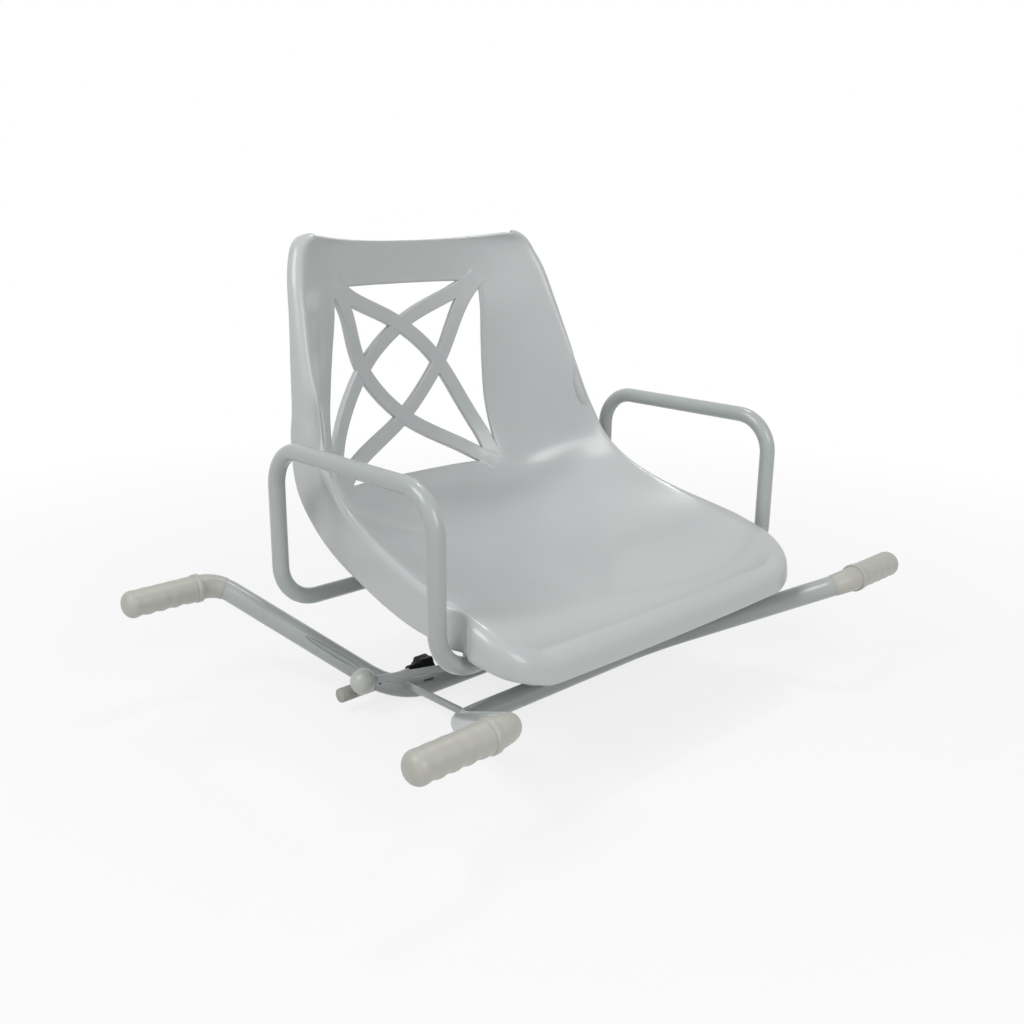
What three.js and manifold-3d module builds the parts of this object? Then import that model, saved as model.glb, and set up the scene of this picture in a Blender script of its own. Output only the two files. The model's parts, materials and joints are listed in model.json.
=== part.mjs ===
import * as THREE from 'three';
import { ParametricGeometry } from 'three/addons/geometries/ParametricGeometry.js';
import { mergeGeometries, mergeVertices } from 'three/addons/utils/BufferGeometryUtils.js';
import Module from 'manifold-3d';

// Swivel bath seat: a moulded seat on a turning column, carried by two bent
// tubes whose sleeved ends rest on the rims of a bath.
// Millimetres, +Z up, the seat faces -Y, the column turns about the Z axis.
// Left and right are those of the person in the seat, so +X is left.

const wasm = await Module();
wasm.setup();

// Base frame: two bent tubes, front and rear
const tube_d = 24;
const tube_wall = 2;
const bar_offset_y = 47;
const bar_corner_x = 158;
const bar_bend_r = 68;
const arm_corner_x = 264;
const arm_corner_y = 240;
const arm_rise = 104;
const arm_bend_r = 32;
const bend_steps = 4;
const arm_tip_x = 370;
const bar_z = tube_d / 2;

// Gaps between pieces
const seat_gap = 0.3;
const run_gap = 0.4;
const leg_notch_gap = 1.5;
const cut_over = 4;

// Soft sleeves on the four tube ends
const sleeve_d = 30;
const sleeve_end_wall = 4;
const sleeve_start_x = 286;
const sleeve_collar_d = 32;
const sleeve_collar_length = 7;
const cuff_wall = 1.8;
const cuff_bare_stations = 2;
const sleeve_wave_depth = 1.1;
const sleeve_wave_count = 4;
const sleeve_flat_length = 14;

// Tie rods between the two tubes
const tie_rod_d = 8;
const tie_rod_x = 147.5;
const tie_rod_z = 20.5;
const tie_rod_stub = 14;

// Column, bearing and locking disc
const base_plate_margin = 8;
const base_plate_t = 4;
const base_plate_r = 10;
const plate_screw_d = 8;
const plate_screw_inset = 16;
const glide_ring_t = 2.5;
const glide_ring_d = 78;
const glide_ring_bore = 40;
const disc_t = 4;
const disc_d = 84;
const notch_count = 12;
const notch_depth = 5;
const notch_width = 9;
const column_d = 50;
const column_wall = 3;
const pivot_d = 12;
const pivot_head_d = 20;
const pivot_head_t = 7;
const bush_wall = 2;
const bush_flange_d = 24;
const bush_flange_t = 1.5;
const nut_d = 20;
const nut_t = 10;
const washer_d = 26;
const washer_t = 2;
const seat_plate_x = 150;
const seat_plate_y = 150;
const seat_plate_t = 4;
const seat_plate_r = 12;

// Armrests: one bent tube each, both legs turned in under the seat
const armrest_d = 17.5;
const armrest_wall = 1.5;
const armrest_x = 254;
const armrest_front_y = -133;
const armrest_rear_y = 120;
const armrest_leg_z = 122;
const armrest_rail_z = 292.5;
const armrest_bend_r = 42;
const armrest_inner_x = 38;

// Rails that carry the armrest legs on the seat plate
const rail_x = 60;
const rail_width = 20;
const rail_height = 22;
const rail_wall = 2;
const rail_overhang = 10;
const rail_bolt_d = 8;
const rail_bolt_y = 58;
const bolt_head_ratio = 1.7;
const bolt_head_t = 5;

// Seat shell
const shell_front_y = -190;
const shell_depth = 422;
const pan_z = 151;
const back_height = 336;
const shell_half_width = 222;
const shell_wall = 4.5;
const edge_radius = 7;
const lip_radius = 18;
const skirt_depth = 46;
const skirt_flare = 2;
const boss_x = 90;
const boss_d = 24;
const seat_screw_d = 6;
const seat_screw_grip = 6;

// Lattice in the backrest
const lattice_bar = 18;
const lattice_below_top = 50;
const lattice_above_pan = 58;
const lattice_top_z = pan_z + back_height - lattice_below_top;
const lattice_low_z = pan_z + lattice_above_pan;
const lattice_top_x = 109;
const lattice_low_x = 126;
const lattice_corner_r = 6;

// Locking lever with its ball
const lever_pivot_clear = 10;
const lever_pivot_x = -(disc_d / 2 + lever_pivot_clear);
const lever_pivot_y = 14;
const lever_rod_d = 8;
const lever_hub_d = 15;
const lever_hub_t = 7;
const lever_pin_d = 6;
const lever_ball_d = 28;
const lever_ball_x = -204;
const lever_ball_y = 50;
const lever_ball_z = 40.5;
const tooth_angle = 135;
const tooth_width = 6.4;
const tooth_reach = 7;
const tooth_outer_r = disc_d / 2 + tooth_reach;
const spring_wire_d = 1.4;
const spring_coils = 4;
const spring_coil_d = 11;
const spring_height = 9;

// Screw stops that wedge the frame between the walls of the bath
const stop_y = 71;
const stop_z = 21.5;
const stop_screw_d = 8;
const stop_boss_d = 16;
const stop_boss_tip_x = 203;
const stop_boss_root_x = 168;
const buffer_d = 16;
const buffer_length = 17;
const buffer_socket = 9;
const knob_d = 26.5;
const knob_thickness = 16;
const knob_hub_d = 13;
const knob_hub_length = 14;
const knob_lobes = 6;
const knob_outer_x = 112;

const TURN = Math.PI * 2;
const DEGREE = Math.PI / 180;

// Joining and cutting
function toSolid(geometry) {
  const bare = geometry.clone();
  bare.deleteAttribute('normal');
  bare.deleteAttribute('uv');
  const merged = mergeVertices(bare, 1e-4);
  const index = merged.index.array;
  const triangles = [];
  for (let i = 0; i < index.length; i += 3) {
    const [a, b, c] = [index[i], index[i + 1], index[i + 2]];
    if (a !== b && b !== c && c !== a) triangles.push(a, b, c);
  }
  return new wasm.Manifold(new wasm.Mesh({
    numProp: 3,
    vertProperties: new Float32Array(merged.attributes.position.array),
    triVerts: new Uint32Array(triangles),
  }));
}

function toGeometry(solid) {
  const mesh = solid.getMesh();
  const geometry = new THREE.BufferGeometry();
  geometry.setAttribute('position', new THREE.BufferAttribute(new Float32Array(mesh.vertProperties), 3));
  geometry.setIndex(new THREE.BufferAttribute(new Uint32Array(mesh.triVerts), 1));
  geometry.computeVertexNormals();
  return geometry;
}

function cut(geometry, ...cutters) {
  let solid = toSolid(geometry);
  for (const cutter of cutters) solid = solid.subtract(toSolid(cutter));
  return toGeometry(solid);
}

function join(...geometries) {
  let solid = toSolid(geometries[0]);
  for (const other of geometries.slice(1)) solid = solid.add(toSolid(other));
  return toGeometry(solid);
}

// Round bars and discs along one axis
function rod(d, low, high, sides = 16) {
  const geometry = new THREE.CylinderGeometry(d / 2, d / 2, high - low, sides);
  return geometry.rotateX(Math.PI / 2).translate(0, 0, (low + high) / 2);
}

function rodX(d, low, high, sides = 16) {
  return rod(d, low, high, sides).rotateY(Math.PI / 2);
}

function rodY(d, low, high, sides = 16) {
  return rod(d, -high, -low, sides).rotateX(Math.PI / 2);
}

function plate(size_x, size_y, corner_r, low, high) {
  const shape = new THREE.Shape();
  const x = size_x / 2;
  const y = size_y / 2;
  shape.moveTo(-x + corner_r, -y);
  shape.lineTo(x - corner_r, -y);
  shape.absarc(x - corner_r, -y + corner_r, corner_r, -TURN / 4, 0);
  shape.lineTo(x, y - corner_r);
  shape.absarc(x - corner_r, y - corner_r, corner_r, 0, TURN / 4);
  shape.lineTo(-x + corner_r, y);
  shape.absarc(-x + corner_r, y - corner_r, corner_r, TURN / 4, TURN / 2);
  shape.lineTo(-x, -y + corner_r);
  shape.absarc(-x + corner_r, -y + corner_r, corner_r, TURN / 2, TURN * 3 / 4);
  const settings = { depth: high - low, bevelEnabled: false, curveSegments: 4 };
  return new THREE.ExtrudeGeometry(shape, settings).translate(0, 0, low);
}

// A tube path of straight runs and round bends, with stations only where it bends
class BentPath extends THREE.Curve {
  constructor(corners, radius_of, bend_steps) {
    super();
    this.stations = [];
    const last = corners.length - 1;
    this.addStation(corners[0], corners[1].clone().sub(corners[0]).normalize());
    for (let i = 1; i < last; i += 1) {
      const into = corners[i].clone().sub(corners[i - 1]).normalize();
      const out = corners[i + 1].clone().sub(corners[i]).normalize();
      const turn = into.angleTo(out);
      const radius = radius_of(i);
      const tangent_length = radius * Math.tan(turn / 2);
      const start = corners[i].clone().addScaledVector(into, -tangent_length);
      const side = out.clone().addScaledVector(into, -out.dot(into)).normalize();
      for (let step = 0; step <= bend_steps; step += 1) {
        const angle = turn * step / bend_steps;
        const point = start.clone();
        point.addScaledVector(into, radius * Math.sin(angle));
        point.addScaledVector(side, radius * (1 - Math.cos(angle)));
        const tangent = into.clone().multiplyScalar(Math.cos(angle));
        tangent.addScaledVector(side, Math.sin(angle));
        this.addStation(point, tangent);
      }
    }
    this.addStation(corners[last], corners[last].clone().sub(corners[last - 1]).normalize());
  }

  addStation(point, tangent) {
    this.stations.push({ point: point.clone(), tangent });
  }

  nearest(u) {
    return this.stations[Math.round(u * (this.stations.length - 1))];
  }

  getPoint(u) {
    return this.nearest(u).point.clone();
  }

  getPointAt(u) {
    return this.getPoint(u);
  }

  getTangent(u) {
    return this.nearest(u).tangent.clone();
  }

  getTangentAt(u) {
    return this.getTangent(u);
  }
}

function circlePoints(d, sides) {
  const points = [];
  for (let i = 0; i < sides; i += 1) {
    const angle = TURN * i / sides;
    points.push(new THREE.Vector2(Math.cos(angle) * d / 2, Math.sin(angle) * d / 2));
  }
  return points;
}

function bentRod(path, d, sides) {
  const shape = new THREE.Shape(circlePoints(d, sides));
  const settings = { steps: path.stations.length - 1, extrudePath: path, bevelEnabled: false };
  return new THREE.ExtrudeGeometry(shape, settings);
}

function bentTube(path, d, bore_d, sides, bore_sides) {
  const shape = new THREE.Shape(circlePoints(d, sides));
  shape.holes.push(new THREE.Path(circlePoints(bore_d, bore_sides)));
  const settings = { steps: path.stations.length - 1, extrudePath: path, bevelEnabled: false };
  return new THREE.ExtrudeGeometry(shape, settings);
}

// A sheet given a wall: the far side lies one wall away along the normals
function thicken(sheet, wall) {
  const bare = sheet.clone();
  bare.deleteAttribute('normal');
  bare.deleteAttribute('uv');
  const outer = mergeVertices(bare, 1e-3);
  outer.computeVertexNormals();
  const place = outer.attributes.position;
  const normal = outer.attributes.normal;
  const index = Array.from(outer.index.array);
  const count = place.count;
  const points = new Float32Array(count * 6);
  for (let i = 0; i < count; i += 1) {
    const point = new THREE.Vector3().fromBufferAttribute(place, i);
    const away = new THREE.Vector3().fromBufferAttribute(normal, i);
    point.toArray(points, i * 3);
    point.addScaledVector(away, -wall).toArray(points, (count + i) * 3);
  }
  const faces = [];
  const edges = new Set();
  for (let i = 0; i < index.length; i += 3) {
    const [a, b, c] = [index[i], index[i + 1], index[i + 2]];
    if (a === b || b === c || c === a) continue;
    faces.push(a, b, c, count + c, count + b, count + a);
    for (const [from, to] of [[a, b], [b, c], [c, a]]) edges.add(`${from} ${to}`);
  }
  for (const edge of edges) {
    const [from, to] = edge.split(' ').map(Number);
    if (edges.has(`${to} ${from}`)) continue;
    faces.push(to, from, count + from, to, count + from, count + to);
  }
  const closed = new THREE.BufferGeometry();
  closed.setAttribute('position', new THREE.BufferAttribute(points, 3));
  closed.setIndex(faces);
  closed.computeVertexNormals();
  return closed;
}

// Finishes
const paint = { color: 0x9aa4a4, roughness: 0.42, metalness: 0.25 };
const moulded = { color: 0xb4b6b8, roughness: 0.35, metalness: 0 };
const sleeve_pvc = { color: 0xaeaea6, roughness: 0.6, metalness: 0 };
const zinc = { color: 0xa8abad, roughness: 0.35, metalness: 0.9 };
const nylon = { color: 0xe4e2da, roughness: 0.5, metalness: 0 };
const black_plastic = { color: 0x141415, roughness: 0.45, metalness: 0 };
const grey_rubber = { color: 0x8f8f87, roughness: 0.8, metalness: 0 };
const ball_plastic = { color: 0xa9aba5, roughness: 0.35, metalness: 0 };

const bath_seat = new THREE.Group();
const turning = new THREE.Group();
bath_seat.add(turning);

function addPiece(name, geometry, finish, group = bath_seat) {
  const mesh = new THREE.Mesh(geometry, new THREE.MeshStandardMaterial(finish));
  mesh.name = name;
  group.add(mesh);
  return mesh;
}

const sides = [{ side: 'left', x: 1 }, { side: 'right', x: -1 }];
const ends = [{ end: 'front', y: -1 }, { end: 'rear', y: 1 }];
const corners_of_frame = ends.flatMap(({ end, y }) => sides.map(({ side, x }) => ({ name: `${end}_${side}`, x, y })));

// The two frame tubes: sleeve end, arm, bar, arm, sleeve end
function framePath(y) {
  const top_z = bar_z + arm_rise;
  const corners = [
    new THREE.Vector3(-arm_tip_x, y * arm_corner_y, top_z),
    new THREE.Vector3(-arm_corner_x, y * arm_corner_y, top_z),
    new THREE.Vector3(-bar_corner_x, y * bar_offset_y, bar_z),
    new THREE.Vector3(bar_corner_x, y * bar_offset_y, bar_z),
    new THREE.Vector3(arm_corner_x, y * arm_corner_y, top_z),
    new THREE.Vector3(arm_tip_x, y * arm_corner_y, top_z),
  ];
  const radius_of = (i) => (i === 1 || i === 4 ? arm_bend_r : bar_bend_r);
  return new BentPath(corners, radius_of, bend_steps);
}

const tie_rod_low_y = -bar_offset_y - tie_rod_stub;
const tie_rod_high_y = bar_offset_y + tube_d / 4;
for (const { end, y } of ends) {
  const holes = sides.map(({ x }) => {
    const hole = rodY(tie_rod_d + 2 * seat_gap, tie_rod_low_y - cut_over, tie_rod_high_y + seat_gap, 10);
    return hole.translate(x * tie_rod_x, 0, tie_rod_z);
  });
  if (end === 'rear') {
    const hole = rodX(stop_screw_d + 2 * seat_gap, -stop_boss_tip_x, stop_boss_tip_x, 10);
    holes.push(hole.translate(0, stop_y, stop_z));
  }
  const tube = bentTube(framePath(y), tube_d, tube_d - 2 * tube_wall, 12, 6);
  addPiece(`${end}_tube`, cut(tube, ...holes), paint);
}

for (const { side, x } of sides) {
  const tie_rod = rodY(tie_rod_d, tie_rod_low_y, tie_rod_high_y, 10);
  addPiece(`tie_rod_${side}`, tie_rod.translate(x * tie_rod_x, 0, tie_rod_z), paint);
}

// Soft sleeves with a collar, finger waves and a domed end
const sleeve_sides = 12;
function sleeveProfile() {
  const bore_r = (tube_d / 2 + seat_gap) / Math.cos(TURN / sleeve_sides / 2);
  const outer_r = sleeve_d / 2;
  const bore_end = arm_tip_x + seat_gap;
  const dome_r = outer_r / 3;
  const tip = bore_end + sleeve_end_wall;
  const wave_start = sleeve_start_x + sleeve_collar_length + sleeve_flat_length;
  const wave_length = (tip - dome_r - wave_start) / sleeve_wave_count;
  const profile = [[0, bore_end], [bore_r, bore_end], [bore_r, sleeve_start_x]];
  profile.push([sleeve_collar_d / 2, sleeve_start_x]);
  profile.push([sleeve_collar_d / 2, sleeve_start_x + sleeve_collar_length]);
  profile.push([outer_r, sleeve_start_x + sleeve_collar_length + sleeve_wave_depth]);
  for (let wave = 0; wave < sleeve_wave_count; wave += 1) {
    const start = wave_start + wave * wave_length;
    profile.push([outer_r, start]);
    profile.push([outer_r - sleeve_wave_depth, start + wave_length / 2]);
  }
  for (let step = 0; step <= 3; step += 1) {
    const angle = TURN / 4 * step / 3;
    const radius = outer_r - dome_r * (1 - Math.cos(angle));
    profile.push([radius, tip - dome_r * (1 - Math.sin(angle))]);
  }
  profile.push([0, tip]);
  return profile.map(([radius, along]) => new THREE.Vector2(radius, along));
}

// The cuff carries on over most of the bend
function sleeveCuff(x, y) {
  const corner = new THREE.Vector3(x * arm_corner_x, y * arm_corner_y, bar_z + arm_rise);
  const bar_corner = new THREE.Vector3(x * bar_corner_x, y * bar_offset_y, bar_z);
  const under_collar = new THREE.Vector3(x * (sleeve_start_x + sleeve_collar_length / 2), corner.y, corner.z);
  const path = new BentPath([bar_corner, corner, under_collar], () => arm_bend_r, bend_steps);
  path.stations.splice(0, cuff_bare_stations);
  const bore_d = (tube_d + 2 * seat_gap) / Math.cos(TURN / sleeve_sides / 2);
  return bentTube(path, tube_d + 2 * seat_gap + 2 * cuff_wall, bore_d, sleeve_sides, sleeve_sides);
}

for (const { end, y } of ends) {
  for (const { side, x } of sides) {
    const grip = new THREE.LatheGeometry(sleeveProfile(), sleeve_sides, TURN / sleeve_sides / 2);
    grip.rotateZ(-x * TURN / 4).translate(0, y * arm_corner_y, bar_z + arm_rise);
    addPiece(`rim_sleeve_${end}_${side}`, join(grip, sleeveCuff(x, y)), sleeve_pvc);
  }
}

// Base plate across the bars, and its four screws
const plate_low = tube_d + seat_gap;
const plate_high = plate_low + base_plate_t;
const base_plate_y = 2 * bar_offset_y + tube_d;
const base_plate_x = base_plate_margin - lever_pivot_x;
const plate_screw_x = base_plate_x - plate_screw_inset;
const screw_places = corners_of_frame.map(({ name, x, y }) => ({ name, x: x * plate_screw_x, y: y * bar_offset_y }));
const screw_hole_d = plate_screw_d + 2 * seat_gap;
const pivot_hole = rod(pivot_d + 2 * seat_gap, plate_low - cut_over, plate_high + cut_over);
const lever_pin_hole = rod(lever_pin_d + 2 * seat_gap, plate_low - cut_over, plate_high + cut_over, 12);
lever_pin_hole.translate(lever_pivot_x, lever_pivot_y, 0);
const screw_holes = screw_places.map(({ x, y }) => {
  return rod(screw_hole_d, plate_low - cut_over, plate_high + cut_over, 10).translate(x, y, 0);
});
const base_plate = plate(2 * base_plate_x, base_plate_y, base_plate_r, plate_low, plate_high);
addPiece('base_plate', cut(base_plate, pivot_hole, lever_pin_hole, ...screw_holes), paint);

// Each screw stands on the bar's crown, with its head on the plate
for (const { name, x, y } of screw_places) {
  const head_low = plate_high + seat_gap;
  const head = rod(plate_screw_d * bolt_head_ratio, head_low, head_low + bolt_head_t, 6);
  const shank = rod(plate_screw_d, tube_d + seat_gap, head_low + bolt_head_t, 10);
  addPiece(`base_plate_screw_${name}`, join(head, shank).translate(x, y, 0), zinc);
}

// Glide ring between the base plate and the locking disc
const ring_low = plate_high + seat_gap;
const ring_high = ring_low + glide_ring_t;
const glide_ring = rod(glide_ring_d, ring_low, ring_high, 24);
const ring_bore = rod(glide_ring_bore, ring_low - cut_over, ring_high + cut_over, 24);
addPiece('glide_ring', cut(glide_ring, ring_bore), nylon);

// Locking disc with a notch for each resting direction
const disc_low = ring_high + seat_gap;
const disc_high = disc_low + disc_t;
const bush_d = pivot_d + 2 * run_gap + 2 * bush_wall;
const notches = [];
for (let i = 0; i < notch_count; i += 1) {
  const notch = new THREE.BoxGeometry(2 * notch_depth, notch_width, disc_t + 2 * cut_over);
  notch.translate(disc_d / 2, 0, (disc_low + disc_high) / 2);
  notches.push(notch.rotateZ(tooth_angle * DEGREE + TURN * i / notch_count));
}
const disc_bore = rod(bush_d + 2 * seat_gap, disc_low - cut_over, disc_high + cut_over);
const disc = rod(disc_d, disc_low, disc_high, 36);
addPiece('locking_disc', cut(disc, disc_bore, ...notches), zinc, turning);

// Bush in the disc, with its flange on top
const bush_body = rod(bush_d, disc_low, disc_high + seat_gap + bush_flange_t);
const bush_flange = rod(bush_flange_d, disc_high + seat_gap, disc_high + seat_gap + bush_flange_t);
const bush_bore = rod(pivot_d + 2 * run_gap, disc_low - cut_over, disc_high + cut_over);
addPiece('pivot_bush', cut(join(bush_body, bush_flange), bush_bore), nylon, turning);

// Pivot bolt from below, its washer and nut inside the column
const washer_low = disc_high + bush_flange_t + 2 * seat_gap;
const nut_low = washer_low + washer_t + seat_gap;
const bolt_top = nut_low + nut_t + seat_gap;
const bolt_head_high = plate_low - seat_gap;
const bolt_head = rod(pivot_head_d, bolt_head_high - pivot_head_t, bolt_head_high, 6);
const bolt_shank = rod(pivot_d, bolt_head_high - pivot_head_t, bolt_top);
addPiece('pivot_bolt', join(bolt_head, bolt_shank), zinc);

const washer_bore = rod(pivot_d + 2 * seat_gap, washer_low - cut_over, bolt_top + cut_over);
addPiece('pivot_washer', cut(rod(washer_d, washer_low, washer_low + washer_t), washer_bore), zinc);
addPiece('pivot_nut', cut(rod(nut_d, nut_low, nut_low + nut_t, 6), washer_bore), zinc);

// Column from the locking disc up to the seat plate
const leg_low = armrest_leg_z - armrest_d / 2;
const rail_high = leg_low - seat_gap;
const rail_low = rail_high - rail_height;
const seat_plate_high = rail_low - seat_gap;
const seat_plate_low = seat_plate_high - seat_plate_t;
const column_low = disc_high + seat_gap;
const column_high = seat_plate_low - seat_gap;
const column_bore = rod(column_d - 2 * column_wall, column_low - cut_over, column_high + cut_over, 20);
addPiece('column', cut(rod(column_d, column_low, column_high, 24), column_bore), paint, turning);

// Seat plate, and the rails bolted on it
const rail_bolts = corners_of_frame.map(({ name, x, y }) => ({ name, x: x * rail_x, y: y * rail_bolt_y }));
const rail_bolt_hole_d = rail_bolt_d + 2 * seat_gap;
function railBoltHole({ x, y }) {
  return rod(rail_bolt_hole_d, seat_plate_low - cut_over, rail_low + rail_wall + cut_over, 10).translate(x, y, 0);
}
const seat_plate = plate(seat_plate_x, seat_plate_y, seat_plate_r, seat_plate_low, seat_plate_high);
addPiece('seat_plate', cut(seat_plate, ...rail_bolts.map(railBoltHole)), paint, turning);

const rail_rear_y = armrest_rear_y + rail_overhang;
const rail_front_y = armrest_front_y - rail_overhang;
const rail_length = rail_rear_y - rail_front_y;
for (const { side, x } of sides) {
  const outside = new THREE.BoxGeometry(rail_width, rail_length, rail_height);
  const inside_z = rail_height - 2 * rail_wall;
  const inside = new THREE.BoxGeometry(rail_width - 2 * rail_wall, rail_length + cut_over, inside_z);
  const middle = [x * rail_x, (rail_rear_y + rail_front_y) / 2, (rail_low + rail_high) / 2];
  outside.translate(...middle);
  inside.translate(...middle);
  const holes = rail_bolts.filter((place) => place.x === x * rail_x).map(railBoltHole);
  addPiece(`seat_rail_${side}`, cut(outside, inside, ...holes), paint, turning);
}

for (const { name, x, y } of rail_bolts) {
  const head_high = seat_plate_low - seat_gap;
  const head = rod(rail_bolt_d * bolt_head_ratio, head_high - bolt_head_t, head_high, 6);
  const shank = rod(rail_bolt_d, head_high - bolt_head_t, rail_low + rail_wall + seat_gap, 10);
  addPiece(`rail_bolt_${name}`, join(head, shank).translate(x, y, 0), zinc, turning);
}

// Armrests, with a hole in each leg for the screw that holds the shell
const leg_y_at = { '-1': armrest_front_y, 1: armrest_rear_y };
function armrestPath(x) {
  const corners = [
    new THREE.Vector3(x * armrest_inner_x, armrest_rear_y, armrest_leg_z),
    new THREE.Vector3(x * armrest_x, armrest_rear_y, armrest_leg_z),
    new THREE.Vector3(x * armrest_x, armrest_rear_y, armrest_rail_z),
    new THREE.Vector3(x * armrest_x, armrest_front_y, armrest_rail_z),
    new THREE.Vector3(x * armrest_x, armrest_front_y, armrest_leg_z),
    new THREE.Vector3(x * armrest_inner_x, armrest_front_y, armrest_leg_z),
  ];
  return new BentPath(corners, () => armrest_bend_r, bend_steps);
}

for (const { side, x } of sides) {
  const reach = armrest_d / 2 + cut_over;
  const holes = ends.map(({ y }) => {
    const hole = rod(seat_screw_d + 2 * seat_gap, armrest_leg_z - reach, armrest_leg_z + reach, 8);
    return hole.translate(x * boss_x, leg_y_at[y], 0);
  });
  addPiece(`armrest_${side}`, cut(bentTube(armrestPath(x), armrest_d, armrest_d - 2 * armrest_wall, 10, 6), ...holes), paint, turning);
}

// Seat shell: rows run from the front edge to the top of the backrest.
// Shares: centre y and z, half width, rim y and z, depth and rounding of the
// turned-down edge; last, the power with which the row rises towards its rim.
const shell_row_shares = [
  [0.000, -0.028, 0.810, 0.000, -0.022, 0.60, 1.00, 2.5],
  [0.014, -0.015, 0.912, 0.017, 0.012, 0.68, 1.00, 2.5],
  [0.043, -0.006, 0.962, 0.052, 0.042, 0.74, 0.85, 2.5],
  [0.095, -0.001, 0.988, 0.104, 0.066, 0.82, 0.50, 2.5],
  [0.185, 0.000, 1.000, 0.185, 0.090, 0.90, 0.20, 2.5],
  [0.284, 0.000, 1.000, 0.273, 0.109, 1.00, 0.00, 2.5],
  [0.391, 0.000, 0.982, 0.372, 0.135, 1.06, 0.00, 2.5],
  [0.517, 0.001, 0.959, 0.479, 0.174, 1.12, 0.00, 2.5],
  [0.652, 0.007, 0.946, 0.569, 0.222, 1.20, 0.00, 2.5],
  [0.782, 0.031, 0.937, 0.635, 0.281, 1.26, 0.00, 3.2],
  [0.881, 0.085, 0.932, 0.675, 0.341, 1.24, 0.10, 4.0],
  [0.943, 0.168, 0.915, 0.701, 0.409, 1.14, 0.20, 4.0],
  [0.976, 0.272, 0.897, 0.720, 0.472, 1.02, 0.35, 4.0],
  [0.991, 0.385, 0.884, 0.739, 0.534, 0.82, 0.45, 4.0],
  [0.998, 0.496, 0.870, 0.768, 0.615, 0.63, 0.45, 3.5],
  [1.000, 0.615, 0.852, 0.796, 0.704, 0.47, 0.45, 3.0],
  [1.000, 0.734, 0.830, 0.822, 0.793, 0.36, 0.45, 2.5],
  [0.998, 0.853, 0.803, 0.851, 0.891, 0.30, 0.45, 2.5],
  [0.993, 0.942, 0.771, 0.872, 0.950, 0.27, 0.45, 2.5],
  [0.989, 0.981, 0.730, 0.886, 0.994, 0.26, 0.45, 2.5],
  [0.988, 1.000, 0.647, 0.896, 1.014, 0.25, 0.45, 2.5],
];
const shell_rows = shell_row_shares.length - 1;
const shell_columns = 16;

function shellRow(i) {
  const [centre_y, centre_z, width, rim_y, rim_z, depth, rounding, power] = shell_row_shares[i];
  return {
    centre: new THREE.Vector3(0, shell_front_y + centre_y * shell_depth, pan_z + centre_z * back_height),
    rim: new THREE.Vector3(width * shell_half_width, shell_front_y + rim_y * shell_depth, pan_z + rim_z * back_height),
    depth: depth * skirt_depth,
    radius: edge_radius + rounding * (lip_radius - edge_radius),
    power,
  };
}

function shellPoint(i, across) {
  const { centre, rim, power } = shellRow(i);
  const rise = Math.abs(across) ** power;
  return new THREE.Vector3(
    across * rim.x,
    centre.y + (rim.y - centre.y) * rise,
    centre.z + (rim.z - centre.z) * rise,
  );
}

// Border of the shell: down the left edge, along the front, up the right edge
const border = [];
for (let i = shell_rows; i > 0; i -= 1) border.push({ row: i, across: -1 });
for (let j = 0; j <= shell_columns; j += 1) border.push({ row: 0, across: 2 * j / shell_columns - 1 });
for (let i = 1; i <= shell_rows; i += 1) border.push({ row: i, across: 1 });

function borderDown({ row }) {
  const before = shellPoint(Math.max(row - 1, 0), 1);
  const after = shellPoint(Math.min(row + 1, shell_rows), 1);
  const run = after.sub(before).normalize();
  const turned = row < 4 ? 0 : 1;
  const down = new THREE.Vector3(0, turned * run.z, -(1 - turned) - turned * run.y);
  return down.normalize();
}

// Points across the turned-down edge: a quarter round, then the flared skirt
const edge_steps = 3;
const skirt_steps = 2;
function borderPoint(k, step) {
  const place = border[k];
  const point = shellPoint(place.row, place.across);
  const before = border[Math.max(k - 1, 0)];
  const after = border[Math.min(k + 1, border.length - 1)];
  const along = shellPoint(after.row, after.across).sub(shellPoint(before.row, before.across)).normalize();
  const down = borderDown(place);
  const outward = new THREE.Vector3().crossVectors(along, down).normalize().negate();
  const { depth, radius } = shellRow(place.row);
  if (step <= edge_steps) {
    const angle = TURN / 4 * step / edge_steps;
    point.addScaledVector(outward, radius * Math.sin(angle));
    return point.addScaledVector(down, radius * (1 - Math.cos(angle)));
  }
  const share = (step - edge_steps) / skirt_steps;
  point.addScaledVector(outward, radius + skirt_flare * share * depth / skirt_depth);
  return point.addScaledVector(down, radius + (depth - radius) * share);
}

function sheet(place, slices, stacks) {
  return new ParametricGeometry((u, v, target) => {
    target.copy(place(Math.round(u * slices), Math.round(v * stacks)));
  }, slices, stacks);
}

const inside_sheet = sheet((j, i) => shellPoint(i, 2 * j / shell_columns - 1), shell_columns, shell_rows);
const edge_sheet = sheet((k, step) => borderPoint(k, edge_steps + skirt_steps - step), border.length - 1,
  edge_steps + skirt_steps);
const shell_body = thicken(mergeGeometries([inside_sheet, edge_sheet]), shell_wall);

// Lattice: two crossing pairs of bowed bars across a tapered window
function bowedBar(points) {
  const curve = new THREE.SplineCurve(points.map(([x, z]) => new THREE.Vector2(x, z)));
  const steps = 10;
  const near = [];
  const far = [];
  for (let i = 0; i <= steps; i += 1) {
    const point = curve.getPoint(i / steps);
    const tangent = curve.getTangent(i / steps);
    const normal = new THREE.Vector2(-tangent.y, tangent.x).multiplyScalar(lattice_bar / 2);
    near.push(point.clone().add(normal));
    far.unshift(point.clone().sub(normal));
  }
  return new THREE.Shape([...near, ...far]);
}

function throughBack(shape) {
  const settings = { depth: shell_depth / 2, bevelEnabled: false, curveSegments: 3 };
  const slab = new THREE.ExtrudeGeometry(shape, settings).rotateX(TURN / 4);
  return slab.translate(0, shell_front_y + shell_depth * 1.1, 0);
}

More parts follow.
